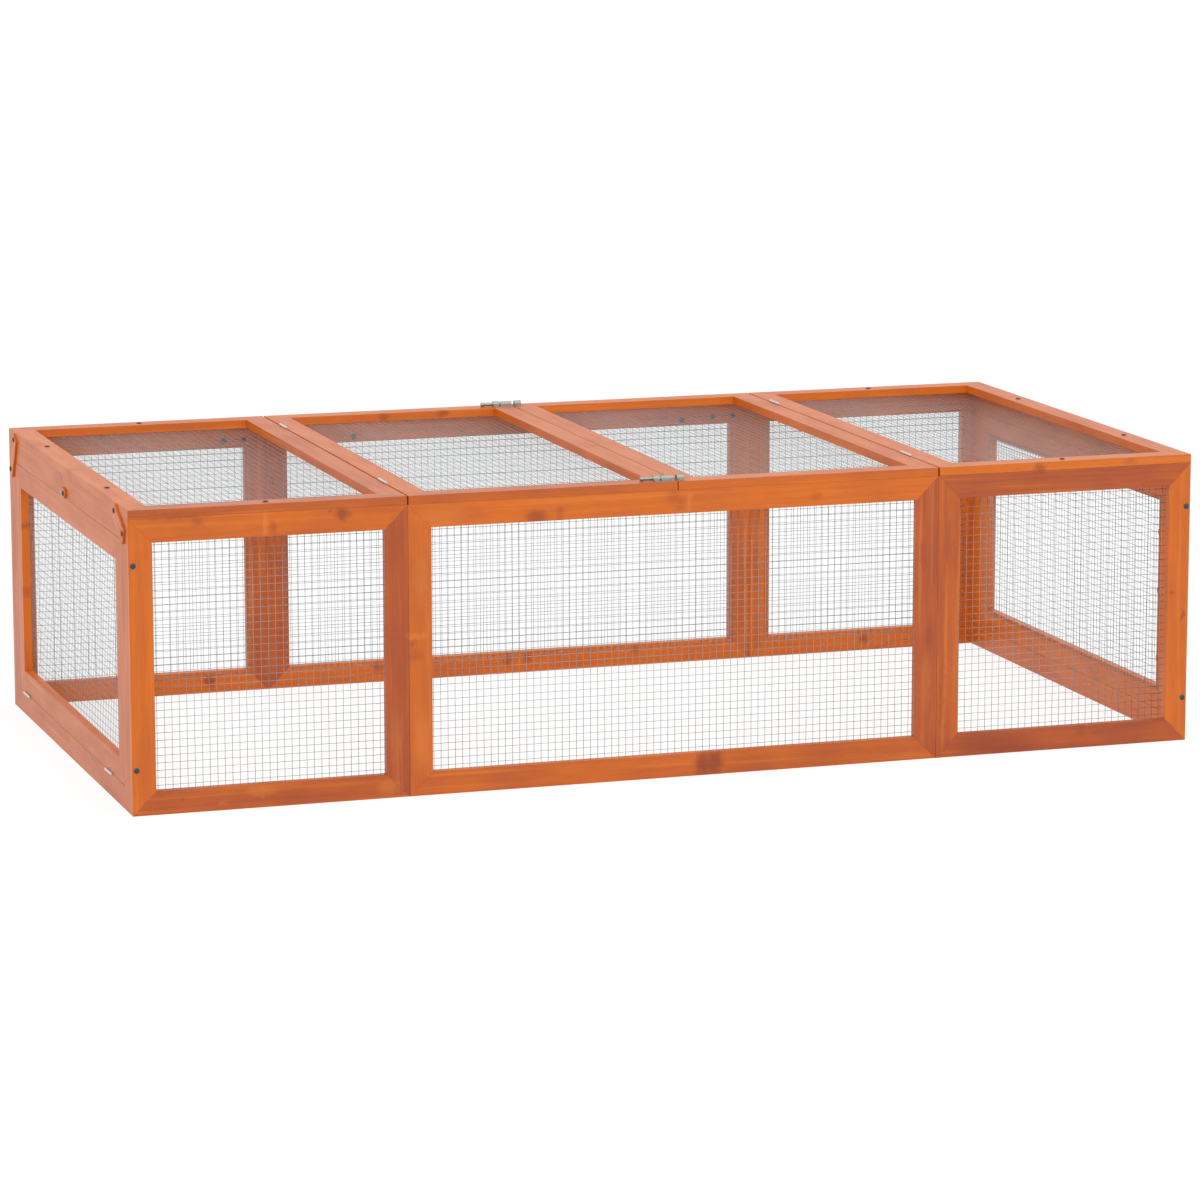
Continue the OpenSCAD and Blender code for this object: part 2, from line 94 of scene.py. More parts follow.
# Knots and stain marks that show in the boards, by the axis across their face and where the
# face is. Each has its middle along the other two axes, in millimetres from the middle of the
# run on the ground, its half sizes, and how much darker it is, or paler where negative.
MARKS = {
    (Y, -456): (
        ((-557, 461), (13, 12), 0.75), ((-576, 467), (4, 4), 0.6), ((-681, 451), (4, 20), -0.45),
        ((-668, 447), (7, 12), 0.4), ((-472, 415), (14, 45), 0.25), ((-789, 462), (12, 10), 0.35),
        ((-820, 473), (70, 7), 0.35), ((-485, 18), (20, 14), -0.35), ((-694, 26), (28, 10), -0.3),
        ((-756, 10), (10, 6), -0.25), ((-821, 21), (4, 4), 0.5), ((-239, 441), (20, 12), 0.65),
        ((-199, 435), (7, 7), 0.35), ((-199, 447), (9, 9), 0.35), ((19, 451), (5, 20), -0.35),
        ((-9, 458), (15, 14), 0.3), ((236, 447), (12, 9), 0.3), ((-437, 259), (18, 7), -0.4),
        ((-444, 247), (5, 5), 0.45), ((-440, 229), (14, 11), 0.3), ((62, 20), (20, 26), 0.85),
        ((45, 17), (17, 26), 0.85), ((115, 18), (60, 26), 0.25), ((424, 342), (6, 32), 0.35),
        ((436, 205), (10, 20), 0.3), ((460, 115), (6, 80), 0.4), ((891, 213), (4, 10), 0.6),
        ((870, 253), (4, 4), 0.55), ((628, 474), (13, 9), 0.55), ((790, 478), (14, 7), 0.3),
        ((545, 16), (95, 22), 0.65), ((560, 8), (95, 9), 0.8), ((710, 28), (11, 12), 0.45),
        ((790, 31), (85, 8), 0.3), ((812, 12), (3, 3), 0.5), ((290, 16), (110, 22), 0.2),
        ((-397, 449), (45, 16), -0.25), ((3, 447), (14, 12), 0.3), ((-430, 350), (14, 50), -0.25),
        ((-430, 90), (14, 55), -0.3), ((-474, 93), (12, 45), -0.2), ((431, 130), (12, 55), -0.2),
    ),
    (X, -893): (
        ((365, 327), (14, 7), 0.45), ((365, 214), (14, 12), 0.3),
    ),
    (X, -900): (
        ((262, 478), (20, 11), 0.25), ((-31, 478), (22, 12), 0.3),
    ),
    (Y, 418): (
        ((-241, 477), (12, 8), 0.5), ((-134, 479), (13, 8), 0.6),
    ),
    (Y, 442): (
        ((-557, 20), (11, 13), 0.8), ((-453, 14), (20, 16), 0.2), ((-250, 27), (12, 10), 0.55),
        ((-9, 24), (11, 14), 0.6), ((27, 26), (10, 12), 0.5), ((233, 29), (11, 10), 0.55),
        ((674, 21), (9, 11), 0.6),
    ),
}
MARK_DEPTH = 25  # half of how far a mark goes through its board, in millimetres

# Screws that clamp the netting on the inside of the back wall: distance from the left end
# and height, in millimetres
CLAMP_SCREWS = ((375, 446), (411, 446), (609, 442), (1219, 442), (1278, 446), (1316, 446))

# The hinges by name: the way out of the boards' faces and the way from the fixed to the moving board
HINGES = {
    "left_lid_hinge": ((0, 0, 1), (1, 0, 0)),
    "right_lid_hinge": ((0, 0, 1), (-1, 0, 0)),
    "left_door_hinge": ((-1, 0, 0), (0, 0, 1)),
    "right_door_hinge": ((1, 0, 0), (0, 0, 1)),
}

DARK_SCREW = {"head_radius": 4.5 * MM, "shank_radius": 1.75 * MM}  # one gauge for them all
WELD = 0.15  # how far crossing wires sink into each other, as a share of their diameter
SHARP = math.radians(50)  # edges of wood are eased where their faces meet at more than this
TOUCH = 0.001 * MM  # places that lie no further apart are the same


def linear(code):
    """The linear colour of an sRGB hex value, with an alpha of 1."""
    parts = [int(code[i:i + 2], 16) / 255 for i in (0, 2, 4)]
    return tuple(c / 12.92 if c <= 0.04045 else ((c + 0.055) / 1.055) ** 2.4 for c in parts) + (1.0,)


# ---- Settings ---------------------------------------------------------------


class BoardSettings(bpy.types.PropertyGroup):
    """Sizes and stain of the boards"""

    width: FloatProperty(
        name="Board Width", description="Width of every frame board",
        default=38 * MM, min=10 * MM, max=0.1, unit="LENGTH")
    mitre_gap: FloatProperty(
        name="Mitre Gap", description="Open glue line between two boards at a mitred corner",
        default=0.2 * MM, min=0.0, max=2 * MM, unit="LENGTH")
    ease: FloatProperty(
        name="Eased Edge", description="Size of the rounding along the edges of a board",
        default=0.3 * MM, min=0.1 * MM, max=5 * MM, unit="LENGTH")
    door_fill: FloatProperty(
        name="Door Fill", description="How far the doors' boards fill their seams, to a fine line",
        default=0.6 * MM, min=0.0, max=0.7 * MM, unit="LENGTH")
    wall_seam: FloatProperty(
        name="Wall Seam", description="Gap between a middle wall frame and the ones beside it",
        default=0.35 * MM, min=0.0, max=2 * MM, unit="LENGTH")
    ring: FloatProperty(
        name="Ring Spacing", description="Distance between two growth rings",
        default=4.6 * MM, min=0.5 * MM, max=20 * MM, unit="LENGTH")
    orange: FloatVectorProperty(
        name="Orange Stain", description="Colour of the stain where it is fresh and even",
        default=linear("D1680F"), size=4, min=0.0, max=1.0, subtype="COLOR")
    red: FloatVectorProperty(
        name="Red-Brown Stain", description="Colour of the stain where the wood took up more of it",
        default=linear("A34A24"), size=4, min=0.0, max=1.0, subtype="COLOR")
    pale: FloatVectorProperty(
        name="Pale Streaks", description="Colour of the stain where the wood took up less of it",
        default=linear("DC8234"), size=4, min=0.0, max=1.0, subtype="COLOR")
    knot: FloatVectorProperty(
        name="Knots", description="Colour of the knots under the stain",
        default=linear("8A3A1A"), size=4, min=0.0, max=1.0, subtype="COLOR")


class NettingSettings(bpy.types.PropertyGroup):
    """Sizes and finish of the wire netting and its staples"""

    mesh: FloatProperty(
        name="Mesh Size", description="Spacing aimed at for the wires; each panel divides evenly",
        default=12 * MM, min=5 * MM, max=0.1, unit="LENGTH")
    wire: FloatProperty(
        name="Wire Diameter", description="Diameter of one wire",
        default=0.75 * MM, min=0.4 * MM, max=2 * MM, unit="LENGTH")
    trim: FloatProperty(
        name="Edge Trim", description="How far the netting is cut back from the solid's edge",
        default=9 * MM, min=0.0, max=12 * MM, unit="LENGTH")
    staple_spacing: FloatProperty(
        name="Staple Spacing", description="Distance between two staples along a board",
        default=95 * MM, min=30 * MM, max=0.5, unit="LENGTH")
    zinc: FloatVectorProperty(
        name="Dull Zinc", description="Colour of the galvanised wire",
        default=linear("A8ACAE"), size=4, min=0.0, max=1.0, subtype="COLOR")


class HardwareSettings(bpy.types.PropertyGroup):
    """Finishes of the hinges, bolts and screws, and rounding of the ties and turn buttons"""

    hinge: FloatVectorProperty(
        name="Bright Zinc", description="Colour of the plated hinges",
        default=linear("DEDFDF"), size=4, min=0.0, max=1.0, subtype="COLOR")
    bolt: FloatVectorProperty(
        name="Satin Zinc", description="Colour of the plated bolts",
        default=linear("B6B3AD"), size=4, min=0.0, max=1.0, subtype="COLOR")
    screw: FloatVectorProperty(
        name="Slate Screws", description="Colour of the dark screws",
        default=linear("4A555A"), size=4, min=0.0, max=1.0, subtype="COLOR")
    wood_ease: FloatProperty(
        name="Eased Wood", description="Size of the rounding on the ties and turn buttons",
        default=0.5 * MM, min=0.1 * MM, max=1.5 * MM, unit="LENGTH")


class StageSettings(bpy.types.PropertyGroup):
    """Level of the light and of the floor"""

    surround: FloatProperty(
        name="Surround", description="Strength of the even light from all round",
        default=0.8, min=0.0, max=2.0)
    key: FloatProperty(
        name="Key Light", description="Strength of the soft lamp at the front left",
        default=1.15, min=0.0, max=10.0)
    floor: FloatVectorProperty(
        name="Floor", description="Colour of the plain pale floor",
        default=linear("E8E8E8"), size=4, min=0.0, max=1.0, subtype="COLOR")


# ---- Finishes ---------------------------------------------------------------


def add_node(tree, kind, settings=None, inputs=None):
    """Adds a node to a tree. An input is a value or the output of another node."""
    node = tree.nodes.new(kind)
    for name, value in (settings or {}).items():
        setattr(node, name, value)
    for name, value in (inputs or {}).items():
        if isinstance(value, bpy.types.NodeSocket):
            tree.links.new(value, node.inputs[name])
        else:
            node.inputs[name].default_value = value
    return node


def finish(name, build):
    """The material of that name, which build(tree, shader) makes the first time."""
    material = bpy.data.materials.get(name)
    if material is None:
        material = bpy.data.materials.new(name)
        material.use_nodes = True
        build(material.node_tree, material.node_tree.nodes["Principled BSDF"])
    return material


def board_marks(tree, knots):
    """How much darker and how much paler the marks make the stain, with knots among the dark."""
    ragged = 14 * MM
    place = add_node(tree, "ShaderNodeTexCoord").outputs["Object"]
    noise = add_node(tree, "ShaderNodeTexNoise", None, {
        "Vector": place, "Scale": 1 / (13 * MM), "Detail": 2.0,
    })
    place = add_node(tree, "ShaderNodeVectorMath", {"operation": "MULTIPLY_ADD"}, {
        0: noise.outputs["Color"], 1: (ragged,) * 3, 2: place,
    }).outputs[0]
    sums = [knots, 0.0]
    for (axis, face), marks in MARKS.items():
        for middle, half, amount in marks:
            middle = [c * MM + ragged / 2 for c in middle[:axis] + (face,) + middle[axis:]]
            shrink = [1 / (h * MM) for h in half[:axis] + (MARK_DEPTH,) + half[axis:]]
            away = add_node(tree, "ShaderNodeVectorMath", {"operation": "MULTIPLY_ADD"}, {
                0: place, 1: shrink, 2: [-c * k for c, k in zip(middle, shrink)],
            })
            distance = add_node(tree, "ShaderNodeVectorMath", {"operation": "LENGTH"}, {
                0: away.outputs[0],
            })
            mark = add_node(tree, "ShaderNodeMapRange", {"interpolation_type": "SMOOTHSTEP"}, {
                "Value": distance.outputs["Value"],
                "From Min": 0.3, "From Max": 1.3, "To Min": abs(amount), "To Max": 0.0,
            })
            which = int(amount < 0)
            sums[which] = add_node(tree, "ShaderNodeMath", {"operation": "MAXIMUM"}, {
                0: mark.outputs[0], 1: sums[which],
            }).outputs[0]
    return sums


def stained_pine(tree, shader):
    """Planed pine under one coat of satin orange-brown wood stain.

    The eye sees long soft streaks where the wood took up more or less of the stain, cloudy
    blotches, thin darker lines of late wood, a faint knot here and there, and a low sheen
    that pales the faces seen at a slant.
    """
    look = bpy.context.scene.rabbit_run_boards
    grain = add_node(tree, "ShaderNodeAttribute", {"attribute_name": "grain"}).outputs["Vector"]
    tone = add_node(tree, "ShaderNodeAttribute", {"attribute_name": "tone"}).outputs["Fac"]

    # Patterns by the size of their marks in millimetres, along and across the board, and detail
    sizes = {
        "wander": (160, 30, 1.0),
        "streak": (420, 9, 2.0),
        "cloud": (110, 40, 2.0),
        "fade": (200, 16, 1.0),
        "fibre": (26, 0.55, 3.0),
    }
    pattern = {}
    for name, (along, across, detail) in sizes.items():
        spread = add_node(tree, "ShaderNodeMapping", None, {
            "Vector": grain,
            "Scale": (1 / (along * MM), 1 / (across * MM), 1 / (across * MM)),
        })
        pattern[name] = add_node(tree, "ShaderNodeTexNoise", None, {
            "Vector": spread.outputs[0], "Scale": 1.0, "Detail": detail,
        })

    # Knots stand in a few cells of a pattern 130 by 60 mm, each at most some 20 by 9 mm
    cells = add_node(tree, "ShaderNodeMapping", None, {
        "Vector": grain, "Scale": (1 / (130 * MM), 1 / (60 * MM), 1 / (60 * MM)),
    })
    cell = add_node(tree, "ShaderNodeTexVoronoi", None, {"Vector": cells.outputs[0], "Scale": 1.0})
    chosen = add_node(tree, "ShaderNodeSeparateColor", None, {0: cell.outputs["Color"]})
    present = add_node(tree, "ShaderNodeMath", {"operation": "GREATER_THAN"}, {
        0: chosen.outputs[0], 1: 0.8,
    }).outputs[0]
    swell, core = [
        add_node(tree, "ShaderNodeMath", {"operation": "MULTIPLY"}, {
            0: present,
            1: add_node(tree, "ShaderNodeMapRange", {"interpolation_type": "SMOOTHSTEP"}, {
                "Value": cell.outputs["Distance"],
                "From Min": near, "From Max": far, "To Min": 1.0, "To Max": 0.0,
            }).outputs[0],
        }).outputs[0]
        for near, far in ((0.02, 0.42), (0.05, 0.1))
    ]

    # Growth rings round the pith wander a little and flow round the knots
    bent = add_node(tree, "ShaderNodeVectorMath", {"operation": "MULTIPLY_ADD"}, {
        0: pattern["wander"].outputs["Color"], 1: (0.0, 9 * MM, 9 * MM), 2: grain,
    })
    phase = add_node(tree, "ShaderNodeMath", {"operation": "MULTIPLY"}, {0: swell, 1: 9.0})
    wave_length = math.tau / 20  # between two rings of a wave texture of scale 1
    rings = add_node(
        tree, "ShaderNodeTexWave",
        {"wave_type": "RINGS", "rings_direction": "X", "wave_profile": "SAW"},
        {
            "Vector": bent.outputs[0], "Scale": wave_length / look.ring,
            "Phase Offset": phase.outputs[0],
        })
    late = add_node(tree, "ShaderNodeMapRange", {"interpolation_type": "SMOOTHSTEP"}, {
        "Value": rings.outputs["Fac"], "From Min": 0.35, "From Max": 1.0,
    })
    fading = add_node(tree, "ShaderNodeMapRange", None, {
        "Value": pattern["fade"].outputs[0], "From Min": 0.3, "From Max": 0.75,
        "To Min": 0.03, "To Max": 0.2,
    })
    lines = add_node(tree, "ShaderNodeMath", {"operation": "MULTIPLY"}, {
        0: late.outputs[0], 1: fading.outputs[0],
    }).outputs[0]

    # The stain's colour goes from orange to red-brown with the board and its streaks and clouds
    redness = tone
    for name, amount in (("streak", 0.6), ("cloud", 0.9)):
        shift = add_node(tree, "ShaderNodeMath", {"operation": "MULTIPLY_ADD"}, {
            0: pattern[name].outputs[0], 1: amount, 2: -amount / 2,
        })
        redness = add_node(tree, "ShaderNodeMath", {"operation": "ADD"}, {
            0: redness, 1: shift.outputs[0],
        }).outputs[0]
    redness = add_node(tree, "ShaderNodeMath", {"operation": "ADD", "use_clamp": True}, {
        0: redness, 1: lines,
    }).outputs[0]
    stain = add_node(tree, "ShaderNodeMix", {"data_type": "RGBA"}, {
        0: redness, 6: tuple(look.orange), 7: tuple(look.red),
    }).outputs[2]
    drier = add_node(tree, "ShaderNodeMapRange", {"interpolation_type": "SMOOTHSTEP"}, {
        "Value": pattern["streak"].outputs[0], "From Min": 0.46, "From Max": 0.28,
        "To Min": 0.0, "To Max": 0.3,
    })
    stain = add_node(tree, "ShaderNodeMix", {"data_type": "RGBA"}, {
        0: drier.outputs[0], 6: stain, 7: tuple(look.pale),
    }).outputs[2]
    fibres = add_node(tree, "ShaderNodeMapRange", None, {
        "Value": pattern["fibre"].outputs[0], "From Min": 0.25, "From Max": 0.75,
        "To Min": 0.88, "To Max": 1.08,
    })
    stain = add_node(tree, "ShaderNodeMix", {"data_type": "RGBA", "blend_type": "MULTIPLY"}, {
        0: 1.0, 6: stain, 7: fibres.outputs[0],
    }).outputs[2]
    knotted = add_node(tree, "ShaderNodeMath", {"operation": "MULTIPLY"}, {0: core, 1: 0.7})
    darker, paler = board_marks(tree, knotted.outputs[0])
    for amount, colour in ((paler, look.pale), (darker, look.knot)):
        stain = add_node(tree, "ShaderNodeMix", {"data_type": "RGBA"}, {
            0: amount, 6: stain, 7: tuple(colour),
        }).outputs[2]
    tree.links.new(stain, shader.inputs["Base Color"])

    # A thin open-pored coat reflects a little less than bare varnish
    shader.inputs["IOR"].default_value = 1.44
    sheen = add_node(tree, "ShaderNodeMapRange", None, {
        "Value": pattern["cloud"].outputs[0], "To Min": 0.34, "To Max": 0.46,
    })
    tree.links.new(sheen.outputs[0], shader.inputs["Roughness"])
    # Raised fibres a tenth of a millimetre high
    height = add_node(tree, "ShaderNodeMath", {"operation": "ADD"}, {
        0: pattern["fibre"].outputs[0], 1: lines,
    })
    bump = add_node(tree, "ShaderNodeBump", None, {
        "Strength": 0.5, "Distance": 0.1 * MM, "Height": height.outputs[0],
    })
    tree.links.new(bump.outputs[0], shader.inputs["Normal"])


def zinc_coat(colour, roughness, cloud_size, depth):
    """A build function for plated or dipped zinc: its colour, its roughness from the brightest
    to the dullest place, the size of its clouds and how far they darken it."""

    def build(tree, shader):
        place = add_node(tree, "ShaderNodeTexCoord").outputs["Object"]
        cloud = add_node(tree, "ShaderNodeTexNoise", None, {
            "Vector": place, "Scale": 1 / cloud_size, "Detail": 3.0,
        }).outputs[0]
        dark = tuple(c * (1 - depth) for c in colour[:3]) + (1.0,)
        shade = add_node(tree, "ShaderNodeMix", {"data_type": "RGBA"}, {
            0: cloud, 6: dark, 7: tuple(colour),
        })
        dull = add_node(tree, "ShaderNodeMapRange", None, {
            "Value": cloud, "To Min": roughness[1], "To Max": roughness[0],
        })
        grit = add_node(tree, "ShaderNodeTexNoise", None, {
            "Vector": place, "Scale": 1 / (0.4 * MM), "Detail": 2.0,
        })
        bump = add_node(tree, "ShaderNodeBump", None, {
            "Strength": 0.25, "Distance": 0.02 * MM, "Height": grit.outputs[0],
        })
        shader.inputs["Metallic"].default_value = 1.0
        tree.links.new(shade.outputs[2], shader.inputs["Base Color"])
        tree.links.new(dull.outputs[0], shader.inputs["Roughness"])
        tree.links.new(bump.outputs[0], shader.inputs["Normal"])

    return build


def stain_finish():
    return finish("satin stained pine", stained_pine)


def wire_finish():
    # Hot-dipped wire: dull grey zinc with paler and darker spangle a few millimetres long
    zinc = bpy.context.scene.rabbit_run_netting.zinc
    return finish("galvanised wire", zinc_coat(zinc, (0.4, 0.6), 5 * MM, 0.3))


def hinge_finish():
    # Bright zinc plate on pressed steel: nearly white, with soft reflections
    zinc = bpy.context.scene.rabbit_run_hardware.hinge
    return finish("bright zinc plate", zinc_coat(zinc, (0.28, 0.42), 9 * MM, 0.12))


def bolt_finish():
    # Satin zinc plate on turned and pressed steel: a warm mid grey
    zinc = bpy.context.scene.rabbit_run_hardware.bolt
    return finish("satin zinc plate", zinc_coat(zinc, (0.26, 0.45), 7 * MM, 0.25))


def screw_finish():
    # Blackened zinc on screws: dark slate with a soft highlight on the dome
    slate = bpy.context.scene.rabbit_run_hardware.screw
    return finish("slate plated screws", zinc_coat(slate, (0.34, 0.5), 3 * MM, 0.25))


# ---- Making pieces ----------------------------------------------------------


def islands(bm):
    """The vertices of a mesh, grouped by the solids they belong to."""
    left, groups = set(bm.verts), []
    for start in bm.verts:
        if start not in left:
            continue
        left.discard(start)
        group, reach = [], [start]
        while reach:
            vert = reach.pop()
            group.append(vert)
            for edge in vert.link_edges:
                other = edge.other_vert(vert)
                if other in left:
                    left.discard(other)
                    reach.append(other)
        groups.append(group)
    return groups


def limits(verts):
    """Lowest and highest corner of some vertices."""
    rows = [[v.co[a] for v in verts] for a in range(3)]
    return Vector([min(r) for r in rows]), Vector([max(r) for r in rows])


def unit(axis):
    """The direction of an axis."""
    return Vector([float(a == axis) for a in range(3)])


def flat_axes(lo, hi):
    """The axis through a flat box between two corners, and the two axes that it spreads along."""
    through = min(range(3), key=lambda a: hi[a] - lo[a])
    return (through, *[a for a in range(3) if a != through])


def merged_copy(node):
    """A copy of a CAD node with its loose triangles joined and its flat faces made whole."""
    bm = bmesh.new()
    bm.from_mesh(frame["nodes"][node].data)
    bmesh.ops.remove_doubles(bm, verts=bm.verts, dist=2 * TOUCH)
    bmesh.ops.dissolve_limit(
        bm, angle_limit=math.radians(0.5), verts=bm.verts, edges=bm.edges)
    return bm


def pin_limits(hinge):
    """Lowest and highest corner of each pin of a pair of hinges."""
    bm = merged_copy(hinge + "_pins")
    corners = [limits(pin) for pin in islands(bm)]
    bm.free()
    return corners


def crisp(bm, angle=30):
    """Shades the curved faces smooth and keeps the edges sharper than an angle in degrees."""
    for face in bm.faces:
        face.smooth = True
    for edge in bm.edges:
        edge.smooth = edge.calc_face_angle(math.pi) < math.radians(angle)


def split(bm, faces, axis, value):
    """Cuts some faces of a mesh across an axis at a value."""
    parts = faces + [e for f in faces for e in f.edges] + [v for f in faces for v in f.verts]
    bmesh.ops.bisect_plane(
        bm, geom=list(dict.fromkeys(parts)), plane_co=unit(axis) * value, plane_no=unit(axis))


def round_edges(bm, edges, size, segments):
    """Rounds some edges of a mesh and gives back the new faces."""
    return bmesh.ops.bevel(
        bm, geom=edges, offset=size, segments=segments, profile=0.5,
        affect="EDGES", clamp_overlap=True, material=-1)["faces"]


def stamp(bm, template, place):
    """Adds a copy of a small mesh at a place."""
    before = len(bm.verts)
    bm.from_mesh(template)
    bm.verts.ensure_lookup_table()
    bmesh.ops.transform(bm, matrix=place, verts=bm.verts[before:])


def to_mesh(bm, name):
    """Ends the work on a mesh and gives it a name."""
    mesh = bpy.data.meshes.new(name)
    bm.to_mesh(mesh)
    bm.free()
    return mesh


def put_in_frame(bm, name, material, slot, body, *replaced):
    """Makes a piece of a mesh, which rides on a body and stands for CAD nodes."""
    if not bm.faces:
        raise RuntimeError(f"{name} has no faces")
    piece = bpy.data.objects.new(name, to_mesh(bm, name))
    piece.data.materials.append(material)
    bpy.context.scene.collection.objects.link(piece)
    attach(piece, body)
    if replaced:
        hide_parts(*replaced)
    return piece


# ---- Boards -----------------------------------------------------------------


def mark_grain(bm, verts, axes, origin, tone, draw):
    """Writes on each vertex its place in the tree: along the board and across from the pith,
    by a pith that lies a few centimetres off and leans a little. Tone is how red it is."""
    grain = bm.verts.layers.float_vector["grain"]
    shade = bm.verts.layers.float["tone"]
    start = draw.uniform(0, 9)
    pith = Vector((0, draw.uniform(-0.03, 0.03), draw.choice((-1, 1)) * draw.uniform(0.02, 0.07)))
    lean = Vector((0, draw.uniform(-0.012, 0.012), draw.uniform(-0.02, 0.02)))
    for vert in verts:
        place = axes @ (vert.co - origin)
        vert[grain] = place + lean * place.x - pith + Vector((start, 0, 0))
        vert[shade] = tone


def grained(bm):
    """Lets a mesh carry the grain and tone of wood."""
    bm.verts.layers.float_vector.new("grain")
    bm.verts.layers.float.new("tone")
    return bm


def faces_at(bm, axis, value):
    """The flat faces of a mesh that lie across an axis at a value."""
    return [f for f in bm.faces if all(abs(v.co[axis] - value) < TOUCH for v in f.verts)]


def cut_pocket(bm, span, edge, face, sink, depth):
    """Cuts a pocket for hinge leaves in an unrounded board: over a span along it, sunk from the
    edge at Y = edge and going a depth in from the face at Z = face."""

    def in_span(faces):
        return [f for f in faces if span[0] < f.calc_center_median().x < span[1]]

    for x in span:
        split(bm, faces_at(bm, Y, edge) + faces_at(bm, Z, face), X, x)
    split(bm, in_span(faces_at(bm, Y, edge)), Z, depth)
    split(bm, in_span(faces_at(bm, Z, face)), Y, sink)
    mouth = min(in_span(faces_at(bm, Z, face)), key=lambda f: abs(f.calc_center_median().y - edge))
    bmesh.ops.delete(bm, geom=[mouth], context="FACES_ONLY")
    rim = min(in_span(faces_at(bm, Y, edge)), key=lambda f: abs(f.calc_center_median().z - face))
    floor = bmesh.ops.extrude_discrete_faces(bm, faces=[rim])["faces"]
    bmesh.ops.translate(bm, verts=floor[0].verts[:], vec=(0, sink - edge, 0))
    wall = min(in_span(faces_at(bm, Z, face)), key=lambda f: abs(f.calc_center_median().y - edge))
    bmesh.ops.delete(bm, geom=[wall], context="FACES")
    bmesh.ops.remove_doubles(bm, verts=bm.verts, dist=TOUCH)


def mitred_board(length, thickness, tone, draw, pockets):
    """A board along X, its outer edge at Y = 0, mitred at both ends and eased along its edges."""
    look = bpy.context.scene.rabbit_run_boards
    size = Vector((length, look.width, thickness))
    bm = grained(bmesh.new())
    bmesh.ops.create_cube(bm, size=1.0, matrix=Matrix.LocRotScale(size / 2, None, size))
    glue = look.mitre_gap / math.sqrt(2)  # each board of a mitre stops short by half of its gap
    for side, end in ((1, 0.0), (-1, length)):
        tip = [v for v in bm.verts if abs(v.co.x - end) < MM]
        inner = [v for v in tip if v.co.y > look.width / 2]
        bmesh.ops.translate(bm, verts=tip, vec=(side * glue, 0, 0))
        bmesh.ops.translate(bm, verts=inner, vec=(side * look.width, 0, 0))
    for pocket in pockets:
        cut_pocket(bm, *pocket)
    longest_pocket = 60 * MM  # the edges of pockets are shorter than this and stay sharp
    long_edges = [
        e for e in bm.edges
        if (e.verts[0].co - e.verts[1].co).yz.length < 10 * TOUCH
        and e.calc_length() > longest_pocket and e.calc_face_angle() > SHARP
    ]
    for face in round_edges(bm, long_edges, look.ease, 3):
        face.smooth = True
    mark_grain(bm, bm.verts, Matrix.Identity(3), size / 2, tone, draw)
    return to_mesh(bm, "board")


def hinge_pockets(name, lo, hi):
    """The pockets in the low board of an end or door frame between two corners, as mitred_board
    takes them."""
    end, kind = name.split("_")
    if kind not in ("end", "door"):
        return []
    (fixed_lo, fixed_hi), (moving_lo, moving_hi) = [
        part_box(f"{end}_door_hinge_{part}_leaves") for part in ("fixed", "moving")]
    if kind == "end":
        edge, sink = bpy.context.scene.rabbit_run_boards.width, min(fixed_lo.z, moving_lo.z) - lo.z
    else:
        edge, sink = 0.0, max(fixed_hi.z, moving_hi.z) - lo.z
    if end == "left":
        face, depth = 0.0, fixed_hi.x - lo.x
    else:
        face, depth = hi.x - lo.x, fixed_lo.x - lo.x
    play = 0.25 * MM
    return [
        ((start.y - lo.y - play, stop.y - lo.y + play), edge, face, sink, depth)
        for start, stop in pin_limits(f"{end}_door_hinge")
    ]


def mitred_frame(name):
    """Four eased boards in the place of a CAD frame."""
    node = name + "_frame"
    look = bpy.context.scene.rabbit_run_boards
    lo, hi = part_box(node)
    through, u, v = flat_axes(lo, hi)
    if name.endswith("door"):
        for axis in (u, v):
            lo[axis] -= look.door_fill
            hi[axis] += look.door_fill
    elif name.endswith("middle"):
        lo.x += look.wall_seam
        hi.x -= look.wall_seam
    size = hi - lo
    if size[u] < 3 * look.width:
        raise RuntimeError(f"{node} is too narrow for four boards")
    draw = random.Random(node)
    sides = (
        (lo, unit(u), unit(v)),
        (lo + unit(v) * size[v], unit(u), -unit(v)),
        (lo, unit(v), unit(u)),
        (lo + unit(u) * size[u], unit(v), -unit(u)),
    )
    bm = grained(bmesh.new())
    for side, tone in zip(sides, BOARD_TONES[name]):
        origin, along, across = side
        pockets = hinge_pockets(name, lo, hi) if side is sides[0] else ()
        board = mitred_board(size @ along, size[through], tone, draw, pockets)
        place = Matrix((along, across, unit(through))).transposed().to_4x4()
        place.translation = origin
        stamp(bm, board, place)
        bpy.data.meshes.remove(board)
    bmesh.ops.recalc_face_normals(bm, faces=bm.faces)
    put_in_frame(bm, name + "_boards", stain_finish(), "stained_boards", BODY_OF[node], node)


class RABBITRUN_OT_boards(bpy.types.Operator):
    """Build the walls, ends, doors, tops and lids of mitred boards with eased edges"""

    bl_idname = "rabbit_run.boards"
    bl_label = "Mitred Boards"

    def execute(self, context):
        for name in FRAMES:
            mitred_frame(name)
        return {"FINISHED"}


# ---- Netting ----------------------------------------------------------------


def netting_side(name):
    """Where a panel's netting lies: its corners, its axes as flat_axes gives them, the side of
    the boards that it is on, 1 or -1, and where their face is."""
    lo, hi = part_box(name + "_netting")
    board_lo, board_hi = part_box(name + "_frame")
    trim = bpy.context.scene.rabbit_run_netting.trim
    axes = flat_axes(lo, hi)
    through = axes[0]
    side = 1 if (lo + hi)[through] > (board_lo + board_hi)[through] else -1
    for axis in axes[1:]:
        lo[axis] += trim
        hi[axis] -= trim
    if name.startswith("back"):
        hi.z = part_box(name + "_netting")[1].z  # the clamp screws hold the whole top edge
    return lo, hi, axes, side, (board_hi if side > 0 else board_lo)[through]


